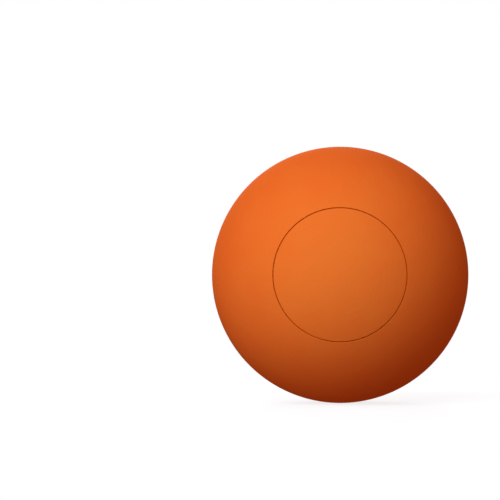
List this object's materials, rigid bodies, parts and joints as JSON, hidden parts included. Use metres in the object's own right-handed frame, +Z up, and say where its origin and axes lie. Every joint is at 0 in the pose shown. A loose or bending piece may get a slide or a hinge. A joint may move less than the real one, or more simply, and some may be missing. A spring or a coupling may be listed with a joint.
{
  "type": "lacrosse ball",
  "caption": "Solid rubber ball for field sports, with a flush round mark disc inside a fine ring line at each pole and a ground parting band at the equator.",
  "frame": {"origin": "centre of the ball", "axes": "+Z up; Y is the pole axis, with the large mark disc facing -Y and the small one facing +Y; the parting band lies round the XZ plane"},
  "size_m": [0.0634, 0.0635, 0.0634],
  "materials": {
    "ball_rubber": "matte moulded orange rubber, ground pale round the parting band",
    "disc_rubber": "matte moulded orange rubber, with faint turned rings from the mould insert"
  },
  "bodies": {
    "root": {"ball_body": "ball_rubber", "front_mark_disc": "disc_rubber", "rear_mark_disc": "disc_rubber"}
  },
  "joints": []
}
